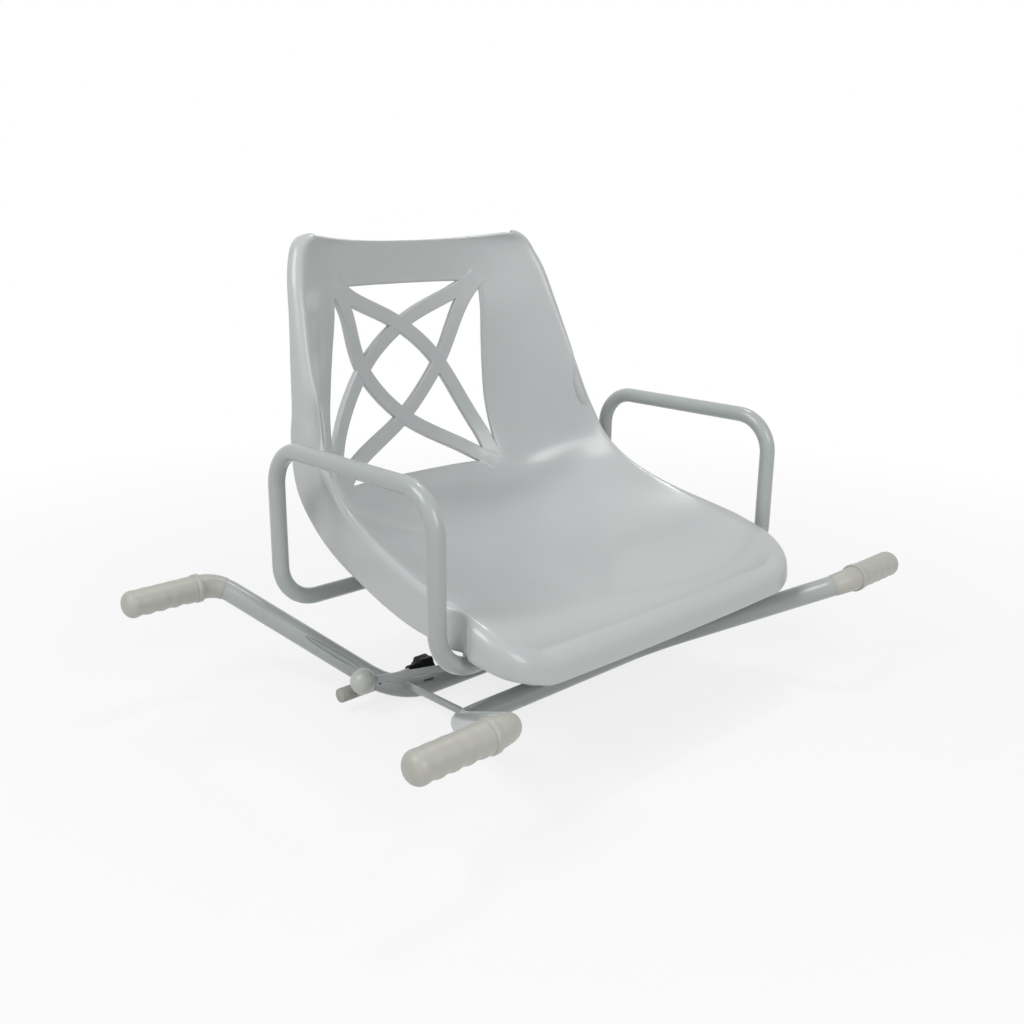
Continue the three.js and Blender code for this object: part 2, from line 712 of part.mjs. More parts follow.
const window_outline = new THREE.Shape();
window_outline.moveTo(-lattice_low_x + lattice_corner_r, lattice_low_z);
window_outline.lineTo(lattice_low_x - lattice_corner_r, lattice_low_z);
window_outline.quadraticCurveTo(lattice_low_x, lattice_low_z, lattice_low_x, lattice_low_z + lattice_corner_r);
window_outline.lineTo(lattice_top_x, lattice_top_z - lattice_corner_r);
window_outline.quadraticCurveTo(lattice_top_x, lattice_top_z, lattice_top_x - lattice_corner_r, lattice_top_z);
window_outline.lineTo(-lattice_top_x + lattice_corner_r, lattice_top_z);
window_outline.quadraticCurveTo(-lattice_top_x, lattice_top_z, -lattice_top_x, lattice_top_z - lattice_corner_r);
window_outline.lineTo(-lattice_low_x, lattice_low_z + lattice_corner_r);
window_outline.quadraticCurveTo(-lattice_low_x, lattice_low_z, -lattice_low_x + lattice_corner_r, lattice_low_z);

// Shares of the window along each bar: across from the middle, and up from the foot
const upper_bar_shares = [[0.91, 1.02], [0.61, 0.94], [0.00, 0.783], [-0.47, 0.559], [-0.87, 0.18], [-0.95, 0.00]];
const lower_bar_shares = [[0.90, 1.02], [0.69, 0.875], [0.46, 0.559], [0.00, 0.292], [-0.66, 0.09], [-0.94, 0.00]];
function onWindow(flip) {
  const window_height = lattice_top_z - lattice_low_z;
  return ([across, up]) => [flip * across * lattice_low_x, lattice_low_z + up * window_height];
}

let lattice_cutter = toSolid(throughBack(window_outline));
for (const { x } of sides) {
  for (const shares of [upper_bar_shares, lower_bar_shares]) {
    lattice_cutter = lattice_cutter.subtract(toSolid(throughBack(bowedBar(shares.map(onWindow(x))))));
  }
}

// Height of the pan's upper face at a point
function panHeight(x, y) {
  for (let i = 1; i <= shell_rows; i += 1) {
    const low = shellPoint(i - 1, x / shellRow(i - 1).rim.x);
    const high = shellPoint(i, x / shellRow(i).rim.x);
    if (y <= high.y) return low.z + (high.z - low.z) * (y - low.y) / (high.y - low.y);
  }
  return pan_z;
}

// Screw bosses under the pan, one over each armrest leg
const boss_low = armrest_leg_z + armrest_d / 2 + seat_gap;
let shell_solid = toSolid(shell_body).subtract(lattice_cutter);
for (const { x } of sides) {
  shell_solid = shell_solid.subtract(toSolid(bentRod(armrestPath(x), armrest_d + 2 * leg_notch_gap, 14)));
}
const boss_places = corners_of_frame.map(({ name, x, y }) => ({ name, x: x * boss_x, y: leg_y_at[y] }));
for (const { x, y } of boss_places) {
  const boss = rod(boss_d, boss_low, pan_z, 10).translate(x, y, 0);
  const points = boss.attributes.position;
  for (let i = 0; i < points.count; i += 1) {
    if (points.getZ(i) > (boss_low + pan_z) / 2) points.setZ(i, panHeight(points.getX(i), points.getY(i)) - shell_wall / 2);
  }
  const hole_high = boss_low + seat_screw_grip + seat_gap;
  const hole = rod(seat_screw_d + 2 * seat_gap, boss_low - cut_over, hole_high, 8).translate(x, y, 0);
  shell_solid = shell_solid.add(toSolid(boss)).subtract(toSolid(hole));
}
addPiece('seat_shell', toGeometry(shell_solid), moulded, turning);

// Screws from below, through the legs into the bosses
for (const { name, x, y } of boss_places) {
  const head_high = leg_low - seat_gap;
  const head = rod(seat_screw_d * bolt_head_ratio, head_high - bolt_head_t, head_high, 10);
  const shank = rod(seat_screw_d, head_high - bolt_head_t, boss_low + seat_screw_grip, 8);
  addPiece(`seat_screw_${name}`, join(head, shank).translate(x, y, 0), zinc, turning);
}

// Locking lever: hub, tooth arm and the rod out to the ball
const hub_low = plate_high + seat_gap;
const hub_high = hub_low + lever_hub_t;
const lever_pivot = new THREE.Vector3(lever_pivot_x, lever_pivot_y, (hub_low + hub_high) / 2);
const ball_centre = new THREE.Vector3(lever_ball_x, lever_ball_y, lever_ball_z);
const tooth_inner_r = disc_d / 2 - notch_depth + run_gap;
const tooth_low = disc_low + run_gap;
const tooth_high = disc_high - run_gap;
const tooth_direction = new THREE.Vector3(Math.cos(tooth_angle * DEGREE), Math.sin(tooth_angle * DEGREE), 0);

function barBetween(from, to, width, low, high) {
  const run = to.clone().sub(from);
  const bar = new THREE.BoxGeometry(Math.hypot(run.x, run.y), width, high - low);
  bar.rotateZ(Math.atan2(run.y, run.x));
  return bar.translate((from.x + to.x) / 2, (from.y + to.y) / 2, (low + high) / 2);
}

const tooth_from = tooth_direction.clone().multiplyScalar(tooth_inner_r);
const tooth_to = tooth_direction.clone().multiplyScalar(tooth_outer_r);
const arm_to = tooth_direction.clone().multiplyScalar(tooth_outer_r - tooth_width / 2);
const tooth = barBetween(tooth_from, tooth_to, tooth_width, tooth_low, tooth_high);
const tooth_arm = barBetween(lever_pivot, arm_to, tooth_width, tooth_low, tooth_high);
const rod_path = new BentPath([lever_pivot, ball_centre], () => 0, 1);
const lever_hub = rod(lever_hub_d, hub_low, hub_high).translate(lever_pivot_x, lever_pivot_y, 0);
const hub_bore = rod(lever_pin_d + 2 * run_gap, hub_low - cut_over, hub_high + cut_over, 12);
hub_bore.translate(lever_pivot_x, lever_pivot_y, 0);
const lever_rod = bentRod(rod_path, lever_rod_d, 12);
addPiece('lock_lever', cut(join(lever_hub, lever_rod, tooth_arm, tooth), hub_bore), paint);

// Ball knob on the rod's end
const ball_socket = bentRod(new BentPath([
  lever_pivot, ball_centre.clone().add(ball_centre.clone().sub(lever_pivot).setLength(seat_gap)),
], () => 0, 1), lever_rod_d + 2 * seat_gap, 12);
const ball = new THREE.SphereGeometry(lever_ball_d / 2, 14, 9).translate(...ball_centre.toArray());
addPiece('lever_ball', cut(ball, ball_socket), ball_plastic);

// Lever pin with its head above the return spring
const spring_low = hub_high + seat_gap;
const pin_head_low = spring_low + spring_height + seat_gap;
const pin_shank = rod(lever_pin_d, plate_low, pin_head_low + bolt_head_t, 12);
const pin_head = rod(lever_pin_d * bolt_head_ratio * 1.4, pin_head_low, pin_head_low + bolt_head_t, 12);
addPiece('lever_pin', join(pin_shank, pin_head).translate(lever_pivot_x, lever_pivot_y, 0), zinc);

class SpringCurve extends THREE.Curve {
  getPoint(u) {
    const angle = TURN * spring_coils * u;
    const radius = (spring_coil_d - spring_wire_d) / 2;
    const height = spring_low + spring_wire_d / 2 + u * (spring_height - spring_wire_d);
    return new THREE.Vector3(
      lever_pivot_x + radius * Math.cos(angle),
      lever_pivot_y + radius * Math.sin(angle),
      height,
    );
  }
}
const wire = new THREE.Shape(circlePoints(spring_wire_d, 5));
const wire_settings = { steps: spring_coils * 7, extrudePath: new SpringCurve(), bevelEnabled: false };
addPiece('lever_spring', new THREE.ExtrudeGeometry(wire, wire_settings), zinc);

// Screw stops on the rear tube: boss, screw, star knob and rubber buffer
for (const { side, x } of sides) {
  const low = (from, to) => Math.min(x * from, x * to);
  const high = (from, to) => Math.max(x * from, x * to);
  const along = (d, from, to, sides_count) => {
    return rodX(d, low(from, to), high(from, to), sides_count).translate(0, stop_y, stop_z);
  };
  const clear_of_tube = bentRod(framePath(1), tube_d + 2 * seat_gap, 16);
  const boss_bore = along(stop_screw_d + 2 * seat_gap, stop_boss_root_x - cut_over, stop_boss_tip_x + cut_over, 10);
  const boss = cut(along(stop_boss_d, stop_boss_root_x, stop_boss_tip_x, 14), boss_bore, clear_of_tube);
  addPiece(`stop_boss_${side}`, boss, paint);

  const knob_inner_x = knob_outer_x - knob_thickness;
  const buffer_root_x = stop_boss_tip_x + seat_gap;
  const screw_tip_x = buffer_root_x + buffer_socket;
  addPiece(`stop_screw_${side}`, along(stop_screw_d, knob_inner_x + knob_thickness / 2, screw_tip_x, 10), zinc);

  const buffer = along(buffer_d, buffer_root_x, buffer_root_x + buffer_length, 14);
  const socket = along(stop_screw_d + 2 * seat_gap, buffer_root_x - cut_over, screw_tip_x + seat_gap, 10);
  addPiece(`stop_buffer_${side}`, cut(buffer, socket), grey_rubber);

  const star = new THREE.Shape();
  const star_points = 4 * knob_lobes;
  for (let i = 0; i < star_points; i += 1) {
    const angle = TURN * i / star_points;
    const radius = knob_d / 2 * (1 - 0.1 * (1 - Math.cos(knob_lobes * angle)));
    const point = [radius * Math.cos(angle), radius * Math.sin(angle)];
    if (i === 0) star.moveTo(...point);
    else star.lineTo(...point);
  }
  const head = new THREE.ExtrudeGeometry(star, { depth: knob_thickness, bevelEnabled: false });
  head.rotateY(TURN / 4).translate(x > 0 ? knob_inner_x : -knob_outer_x, stop_y, stop_z);
  const hub = along(knob_hub_d, knob_outer_x - seat_gap, knob_outer_x + knob_hub_length, 12);
  const knob_bore_from = knob_inner_x + knob_thickness / 2 - seat_gap;
  const knob_bore = along(stop_screw_d + 2 * seat_gap, knob_bore_from, knob_outer_x + knob_hub_length + cut_over, 10);
  addPiece(`stop_knob_${side}`, cut(join(head, hub), knob_bore), black_plastic);
}

export default bath_seat;
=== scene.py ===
import json
import math

import bpy
import numpy as np
from mathutils import Matrix, Vector


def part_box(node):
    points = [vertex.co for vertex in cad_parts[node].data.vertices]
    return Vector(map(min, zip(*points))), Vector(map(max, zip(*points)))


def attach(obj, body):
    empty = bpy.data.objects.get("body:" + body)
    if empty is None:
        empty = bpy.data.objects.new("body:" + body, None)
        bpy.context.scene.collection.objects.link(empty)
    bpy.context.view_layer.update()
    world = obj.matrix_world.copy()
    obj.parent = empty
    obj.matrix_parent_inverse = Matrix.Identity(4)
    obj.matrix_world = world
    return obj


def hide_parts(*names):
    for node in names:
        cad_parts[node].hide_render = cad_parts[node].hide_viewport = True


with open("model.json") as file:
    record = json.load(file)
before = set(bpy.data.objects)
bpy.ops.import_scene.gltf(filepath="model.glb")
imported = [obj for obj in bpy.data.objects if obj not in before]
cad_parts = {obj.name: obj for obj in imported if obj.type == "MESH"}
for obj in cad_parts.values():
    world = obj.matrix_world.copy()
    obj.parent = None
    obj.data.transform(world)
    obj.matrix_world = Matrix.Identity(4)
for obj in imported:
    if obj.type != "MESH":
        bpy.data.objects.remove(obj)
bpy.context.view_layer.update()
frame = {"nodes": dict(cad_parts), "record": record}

# Seat shell. One injection-moulded plastic shell about 4.5 mm thick: a pan, a backrest with a
# lattice, and an edge turned down all round. Four screws hold it from below.
MM = 0.001
shell_front_y = -190
shell_depth = 422
pan_z = 151
back_height = 336
shell_half_width = 222
shell_wall = 4.5
edge_radius = 7
lip_radius = 18
skirt_depth = 46
skirt_flare = 2
armrest_front_y = -133
armrest_rear_y = 120

# Shares at rows from the front edge to the top of the backrest: centre y and z, half width, rim
# y and z, depth of the turned-down edge, how far its round grows to the lip's, and the power by
# which a row rises to its rim.
shell_rows = np.array([
    [0.000, -0.028, 0.810, 0.000, -0.022, 0.60, 1.00, 2.5],
    [0.014, -0.015, 0.912, 0.017, 0.012, 0.68, 1.00, 2.5],
    [0.043, -0.006, 0.962, 0.052, 0.042, 0.74, 0.85, 2.5],
    [0.095, -0.001, 0.988, 0.104, 0.066, 0.82, 0.50, 2.5],
    [0.185, 0.000, 1.000, 0.185, 0.090, 0.90, 0.20, 2.5],
    [0.284, 0.000, 1.000, 0.273, 0.109, 1.00, 0.00, 2.5],
    [0.391, 0.000, 0.982, 0.372, 0.135, 1.06, 0.00, 2.5],
    [0.517, 0.001, 0.959, 0.479, 0.174, 1.12, 0.00, 2.5],
    [0.652, 0.007, 0.946, 0.569, 0.222, 1.20, 0.00, 2.5],
    [0.782, 0.031, 0.937, 0.635, 0.281, 1.26, 0.00, 3.2],
    [0.881, 0.085, 0.932, 0.675, 0.341, 1.24, 0.10, 4.0],
    [0.943, 0.168, 0.915, 0.701, 0.409, 1.14, 0.20, 4.0],
    [0.976, 0.272, 0.897, 0.720, 0.472, 1.02, 0.35, 4.0],
    [0.991, 0.385, 0.884, 0.739, 0.534, 0.82, 0.45, 4.0],
    [0.998, 0.496, 0.870, 0.768, 0.615, 0.63, 0.45, 3.5],
    [1.000, 0.615, 0.852, 0.796, 0.704, 0.47, 0.45, 3.0],
    [1.000, 0.734, 0.830, 0.822, 0.793, 0.36, 0.45, 2.5],
    [0.998, 0.853, 0.803, 0.851, 0.891, 0.30, 0.45, 2.5],
    [0.993, 0.942, 0.771, 0.872, 0.950, 0.27, 0.45, 2.5],
    [0.989, 0.981, 0.730, 0.886, 0.998, 0.26, 0.45, 2.5],
    [0.988, 1.000, 0.655, 0.896, 1.024, 0.25, 0.45, 2.5],
])
last_row = len(shell_rows) - 1


def smooth_between(a, b, c, d, f):
    square = 2 * a - 5 * b + 4 * c - d
    cube = 3 * b - a - 3 * c + d
    return (2 * b + (c - a) * f + square * f ** 2 + cube * f ** 3) / 2


def smooth_along(spots, t):
    last = len(spots) - 1
    i = min(int(t), last - 1)
    return smooth_between(*(spots[min(max(i + k, 0), last)] for k in (-1, 0, 1, 2)), t - i)


def shell_row(t):
    return smooth_along(shell_rows, t)


def shell_point(t, across):
    centre_y, centre_z, width, rim_y, rim_z, _, _, power = shell_row(t)
    rise = abs(across) ** power
    return Vector((
        across * width * shell_half_width,
        shell_front_y + shell_depth * (centre_y + (rim_y - centre_y) * rise),
        pan_z + back_height * (centre_z + (rim_z - centre_z) * rise),
    )) * MM


def deselect():
    bpy.ops.object.select_all(action="DESELECT")


def pick(piece):
    deselect()
    piece.select_set(True)
    bpy.context.view_layer.objects.active = piece


def apply_modifier(piece, kind, **settings):
    bpy.context.view_layer.objects.active = piece
    modifier = piece.modifiers.new(kind, kind)
    for name, value in settings.items():
        setattr(modifier, name, value)
    bpy.ops.object.modifier_apply(modifier=modifier.name)


columns = 44
rows = 80
almost = 0.001
deselect()
bpy.ops.mesh.primitive_grid_add(x_subdivisions=columns, y_subdivisions=rows, size=2)
shell = bpy.context.object
shell.name = "moulded_seat"
border = {}
for vertex in shell.data.vertices:
    across, t = vertex.co.x, (vertex.co.y + 1) / 2 * last_row
    vertex.co = shell_point(t, across)
    if abs(across) > 1 - almost:
        border[vertex.index] = (math.copysign(1 + t, across), across, t)
    elif t < almost:
        border[vertex.index] = (across, across, t)
border = sorted(border.items(), key=lambda item: item[1][0])
places = [(across, t) for _, (_, across, t) in border]

# The edge is turned down in rings, from the rim round its radius and down the skirt. It hangs
# straight down round the front, stands square to the rim behind that, leaves a hollow for each
# armrest post, and runs out at the top corners.
edge_steps = 5
skirt_steps = 3
front_rows = 3
run_out_least = 0.36
hollow_depth = 12
# Place, half width, and the share by which the hollow fades towards the skirt's foot.
hollows = ((armrest_front_y, 5.5, 0), (armrest_rear_y, 11, 1))
hollow_start_step = 1
hollow_full_steps = 3


def edge_point(k, step):
    across, t = places[k]
    point = shell_point(t, across)
    before, after = places[max(k - 1, 0)], places[min(k + 1, len(places) - 1)]
    along = (shell_point(after[1], after[0]) - shell_point(before[1], before[0])).normalized()
    run = (shell_point(min(t + 1, last_row), 1) - shell_point(max(t - 1, 0), 1)).normalized()
    turned = min(max(t - front_rows, 0), 1)
    down = Vector((0, turned * run.z, -(1 - turned) - turned * run.y)).normalized()
    outward = -along.cross(down).normalized()
    depth, rounding = shell_row(t)[5:7]
    radius = edge_radius + rounding * (lip_radius - edge_radius)
    depth = max(depth * skirt_depth, radius + 1)
    round_share = min(step / edge_steps, 1) * math.pi / 2
    share = max(step - edge_steps, 0) / skirt_steps
    out = radius * math.sin(round_share) + skirt_flare * share * depth / skirt_depth
    low = radius * (1 - math.cos(round_share)) + (depth - radius) * share
    run_out = min(max(last_row - t, 0) + run_out_least, 1) ** 0.5
    if abs(across) > 1 - almost:
        place_y = (point + down * low * MM).y / MM
        begun = min(max(step - hollow_start_step, 0) / hollow_full_steps, 1)
        for post_y, half_width, fades in hollows:
            near = math.exp(-((place_y - post_y) / half_width) ** 4)
            out -= hollow_depth * near * begun * (1 - fades * share)
    return point + (outward * out + down * low) * run_out * MM


ring = {index: k for k, (index, _) in enumerate(border)}
for step in range(1, edge_steps + skirt_steps + 1):
    pick(shell)
    mesh = shell.data
    for vertex in mesh.vertices:
        vertex.select = False
    for face in mesh.polygons:
        face.select = False
    for edge in mesh.edges:
        a, b = edge.vertices
        edge.select = a in ring and b in ring and abs(ring[a] - ring[b]) == 1
    spots = {tuple(round(c, 6) for c in mesh.vertices[i].co): k for i, k in ring.items()}
    bpy.ops.object.mode_set(mode="EDIT")
    bpy.ops.mesh.select_mode(type="EDGE")
    bpy.ops.mesh.extrude_edges_move()
    bpy.ops.object.mode_set(mode="OBJECT")
    ring = {v.index: spots[tuple(round(c, 6) for c in v.co)] for v in mesh.vertices if v.select}
    for index, k in ring.items():
        mesh.vertices[index].co = edge_point(k, step)

apply_modifier(shell, "SOLIDIFY", thickness=shell_wall * MM, offset=-1)
apply_modifier(shell, "SUBSURF", levels=1, render_levels=1)

# The backrest's window is cut through, and its cut edge gets a rounded bead all round.
window_top_z = 437
window_low_z = 209
window_top_x = 109
window_low_x = 126
window_corner_r = 6
window_corner_steps = 8
window_side_steps = 40
bead_r = 2.6
bead_overlap = 0.4
cutter_y = 150
cutter_reach = 120


def window_line(grow):
    corners = [(window_low_x, window_low_z, -1), (window_top_x, window_top_z, 1)]
    right = []
    for x, z, up in corners:
        centre_x, centre_z = x - window_corner_r, z - up * window_corner_r
        for step in range(window_corner_steps + 1):
            turned = step / window_corner_steps
            angle = math.pi / 2 * (up * (1 - turned) if up < 0 else turned)
            reach = window_corner_r + grow
            right.append((centre_x + reach * math.cos(angle), centre_z + reach * math.sin(angle)))
    between = range(1, window_side_steps)
    low_end, high_end = right[window_corner_steps], right[window_corner_steps + 1]
    side = [tuple(a + (b - a) * k / window_side_steps for a, b in zip(low_end, high_end)) for k in between]
    half = right[:window_corner_steps + 1] + side + right[window_corner_steps + 1:]
    (low_x, low_z), (top_x, top_z) = half[0], half[-1]
    top = [(top_x * (1 - 2 * k / window_side_steps), top_z) for k in between]
    low = [(-low_x * (1 - 2 * k / window_side_steps), low_z) for k in between]
    return half + top + [(-x, z) for x, z in reversed(half)] + low


def curve_through(points, closed=False, **settings):
    deselect()
    bpy.ops.curve.primitive_bezier_curve_add()
    curve = bpy.context.object
    curve.data.splines.clear()
    for name, value in settings.items():
        setattr(curve.data, name, value)
    spline = curve.data.splines.new("POLY")
    spline.points.add(len(points) - 1)
    for spot, point in zip(spline.points, points):
        spot.co = (*point, 1)
    spline.use_cyclic_u = closed
    return curve


def as_mesh(piece, name):
    pick(piece)
    bpy.ops.object.convert(target="MESH")
    made = bpy.context.object
    made.name = name
    return made


backrest_first_row = 9
halvings = 16


def on_backrest(x, z, behind=0):
    def face(x, z):
        low_t, high_t = float(backrest_first_row), float(last_row)
        for _ in range(halvings):
            t = (low_t + high_t) / 2
            across = min(max(x / (shell_row(t)[2] * shell_half_width), -1), 1)
            if shell_point(t, across).z > z * MM:
                high_t = t
            else:
                low_t = t
        return Vector((x * MM, shell_point(t, across).y, z * MM))

    facing = (face(x + 1, z) - face(x - 1, z)).cross(face(x, z + 1) - face(x, z - 1)).normalized()
    return face(x, z) - facing * behind * MM


def join_in(whole, piece, kind="UNION"):
    apply_modifier(whole, "BOOLEAN", operation=kind, object=piece, solver="MANIFOLD")
    bpy.data.objects.remove(piece)


weld_gap = 0.01


def weld(piece):
    pick(piece)
    bpy.ops.object.mode_set(mode="EDIT")
    bpy.ops.mesh.select_all(action="SELECT")
    bpy.ops.mesh.remove_doubles(threshold=weld_gap * MM)
    bpy.ops.mesh.normals_make_consistent(inside=False)
    bpy.ops.object.mode_set(mode="OBJECT")


cut_line = window_line(bead_r - bead_overlap)
line = curve_through([(x * MM, z * MM, 0) for x, z in cut_line], dimensions="2D", fill_mode="BOTH",
                     extrude=cutter_reach * MM, closed=True)
window = as_mesh(line, "window")
for vertex in window.data.vertices:
    x, z, depth = vertex.co
    vertex.co = (x, cutter_y * MM - depth, z)
weld(window)
join_in(shell, window, "DIFFERENCE")
line = curve_through([on_backrest(x, z, shell_wall / 2) for x, z in cut_line], dimensions="3D",
                     bevel_depth=bead_r * MM, bevel_resolution=5, closed=True)
join_in(shell, as_mesh(line, "window_bead"))

# Two crossing pairs of bowed bars fill it, flush with the front of the panel and a little
# thicker to the back. They widen to their ends, which sink into the panel. Each stands a hair
# prouder than the last, so that no two faces lie in one plane. Shares of the window: across
# from the middle, and up from the foot.
bar_width = 18
bar_thickness = 8
bar_round = 2.4
upper_bar = [(0.91, 1.05), (0.61, 0.94), (0.00, 0.783), (-0.47, 0.559), (-0.87, 0.18), (-0.97, -0.05)]
lower_bar = [(0.90, 1.05), (0.69, 0.875), (0.46, 0.559), (0.00, 0.292), (-0.66, 0.09), (-1.00, -0.03)]
bar_steps = 64
bar_across_steps = 6
bar_flare_share = 0.5
flared_share = 0.14
sunk_share = 0.05
bar_end_depth = 1.4
bar_proud = 0.1
bar_proud_more = 0.12
run_step = 0.01


def bar_line(shares, s):
    spots = np.array(shares) * (window_low_x, window_top_z - window_low_z)
    return smooth_along(spots, s * (len(spots) - 1))


proud = bar_proud
for flip in (1, -1):
    for shares in (upper_bar, lower_bar):
        proud += bar_proud_more
        deselect()
        bpy.ops.mesh.primitive_grid_add(x_subdivisions=bar_steps, y_subdivisions=bar_across_steps, size=2)
        bar = bpy.context.object
        for vertex in bar.data.vertices:
            s, w = (vertex.co.x + 1) / 2, vertex.co.y
            run = bar_line(shares, min(s + run_step, 1)) - bar_line(shares, max(s - run_step, 0))
            run = run / np.linalg.norm(run)
            from_end = min(s, 1 - s)
            half = bar_width / 2 * (1 + bar_flare_share * max(1 - from_end / flared_share, 0) ** 1.5)
            x, z = bar_line(shares, s) + np.array((run[1], -run[0])) * flip * w * half
            sunk = max(1 - from_end / sunk_share, 0)
            vertex.co = on_backrest(flip * x, window_low_z + z, (proud + bar_end_depth) * sunk - proud)
        bar.data.update()
        if sum(face.normal.y for face in bar.data.polygons) > 0:
            pick(bar)
            bpy.ops.object.mode_set(mode="EDIT")
            bpy.ops.mesh.select_all(action="SELECT")
            bpy.ops.mesh.flip_normals()
            bpy.ops.object.mode_set(mode="OBJECT")
        apply_modifier(bar, "SOLIDIFY", thickness=bar_thickness * MM, offset=-1)
        apply_modifier(bar, "BEVEL", width=bar_round * MM, segments=4, limit_method="ANGLE",
                       angle_limit=math.radians(50))
        join_in(shell, bar)

# Four bosses under the pan take the screws that come up through the armrest legs.
boss_x = 90
boss_d = 24
boss_low = 131.05
screw_hole_d = 6.6
screw_hole_deep = 6.3
cutter_overrun = 4
pan_last_row = 11


def on_pan(x, y):
    low_t, high_t = 0.0, float(pan_last_row)
    for _ in range(halvings):
        t = (low_t + high_t) / 2
        across = x / (shell_row(t)[2] * shell_half_width)
        if shell_point(t, across).y > y * MM:
            high_t = t
        else:
            low_t = t
    return shell_point(t, across)


for x in (-boss_x, boss_x):
    for y in (armrest_front_y, armrest_rear_y):
        deselect()
        bpy.ops.mesh.primitive_cylinder_add(vertices=48, radius=boss_d / 2 * MM, depth=2)
        boss = bpy.context.object
        for vertex in boss.data.vertices:
            place = Vector((x, y, 0)) * MM
            spot = Vector((vertex.co.x, vertex.co.y, 0)) + place
            top = on_pan(spot.x / MM, spot.y / MM).z - shell_wall / 2 * MM
            vertex.co = (spot.x, spot.y, top if vertex.co.z > 0 else boss_low * MM)
        join_in(shell, boss)
        deselect()
        bpy.ops.mesh.primitive_cylinder_add(vertices=32, radius=screw_hole_d / 2 * MM, depth=2)
        hole = bpy.context.object
        for vertex in hole.data.vertices:
            high = vertex.co.z > 0
            vertex.co += Vector((x, y, 0)) * MM
            vertex.co.z = (boss_low + (screw_hole_deep if high else -cutter_overrun)) * MM
        join_in(shell, hole, "DIFFERENCE")


def smooth(piece, degrees=40):
    pick(piece)
    bpy.ops.object.shade_smooth_by_angle(angle=math.radians(degrees))


smooth(shell, 45)


def linear(hex_colour):
    channels = [int(hex_colour[i:i + 2], 16) / 255 for i in (0, 2, 4)]
    return [c / 12.92 if c <= 0.04045 else ((c + 0.055) / 1.055) ** 2.4 for c in channels] + [1]


def add_node(material, kind, settings=(), links=()):
    node = material.node_tree.nodes.new(kind)
    for name, value in dict(settings).items():
        if name in node.inputs:
            node.inputs[name].default_value = value
        else:
            setattr(node, name, value)
    for socket, (source, output) in dict(links).items():
        material.node_tree.links.new(source.outputs[output], node.inputs[socket])
    return node


def empty_material(name):
    material = bpy.data.materials.new(name)
    material.use_nodes = True
    material.node_tree.nodes.clear()
    return material


# Polypropylene, moulded against a polished tool: an even pale grey with a soft gloss, and the
# faint waviness that a large moulding keeps.
polypropylene = empty_material("polypropylene_moulded_pale_grey")
place = add_node(polypropylene, "ShaderNodeTexCoord")
waves = add_node(polypropylene, "ShaderNodeTexNoise", {
    "Scale": 18, "Detail": 1,
}, {"Vector": (place, "Object")})
bump = add_node(polypropylene, "ShaderNodeBump", {
    "Strength": 0.05, "Distance": 0.002,
}, {"Height": (waves, "Fac")})
gloss = add_node(polypropylene, "ShaderNodeMapRange", {
    "To Min": 0.26, "To Max": 0.34,
}, {"Value": (waves, "Fac")})
skin = add_node(polypropylene, "ShaderNodeBsdfPrincipled", {
    "Base Color": linear("C1C4C4"), "IOR": 1.49, "Coat Weight": 0.2, "Coat Roughness": 0.09,
}, {"Normal": (bump, "Normal"), "Roughness": (gloss, "Result")})
add_node(polypropylene, "ShaderNodeOutputMaterial", (), {"Surface": (skin, "BSDF")})
shell.data.materials.clear()
shell.data.materials.append(polypropylene)
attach(shell, "seat")
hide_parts("seat_shell")

# Armrests. Each is one steel tube bent to a closed-looking loop, powder coated grey. Its two
# legs turn in under the seat, where the seat's screws hold them on the rails.
armrest_d = 17.5
armrest_x = 254
armrest_leg_z = 122
armrest_rail_z = 292.5
armrest_bend_r = 42
armrest_inner_x = 38


def bent_line(corners, bends, steps):
    corners = [Vector(corner) for corner in corners]
    points = [corners[0]]
    for before, corner, after, radius in zip(corners, corners[1:], corners[2:], bends):
        into = (corner - before).normalized()
        out = (after - corner).normalized()
        turn = into.angle(out)
        start = corner - into * radius * math.tan(turn / 2)
        side = (out - into * out.dot(into)).normalized()
        for step in range(steps + 1):
            angle = turn * step / steps
            points.append(start + into * radius * math.sin(angle) + side * radius * (1 - math.cos(angle)))
    points.append(corners[-1])
    return [point * MM for point in points]


def bent_tube(name, corners, bends, diameter, steps=14):
    points = bent_line(corners, bends, steps)
    curve = curve_through(points, dimensions="3D", bevel_depth=diameter / 2 * MM, bevel_resolution=8,
                          use_fill_caps=True)
    tube = as_mesh(curve, name)
    smooth(tube)
    return tube


# Epoxy powder coat on steel: a smooth grey skin with the fine orange peel that baked powder has.
powder_coat = empty_material("powder_coat_grey")
place = add_node(powder_coat, "ShaderNodeTexCoord")
peel = add_node(powder_coat, "ShaderNodeTexNoise", {
    "Scale": 420, "Detail": 2,
}, {"Vector": (place, "Object")})
bump = add_node(powder_coat, "ShaderNodeBump", {
    "Strength": 0.06, "Distance": 0.0004,
}, {"Height": (peel, "Fac")})
skin = add_node(powder_coat, "ShaderNodeBsdfPrincipled", {
    "Base Color": linear("AEB4B3"), "Roughness": 0.32, "IOR": 1.5,
    "Coat Weight": 0.35, "Coat Roughness": 0.1,
}, {"Normal": (bump, "Normal")})
add_node(powder_coat, "ShaderNodeOutputMaterial", (), {"Surface": (skin, "BSDF")})

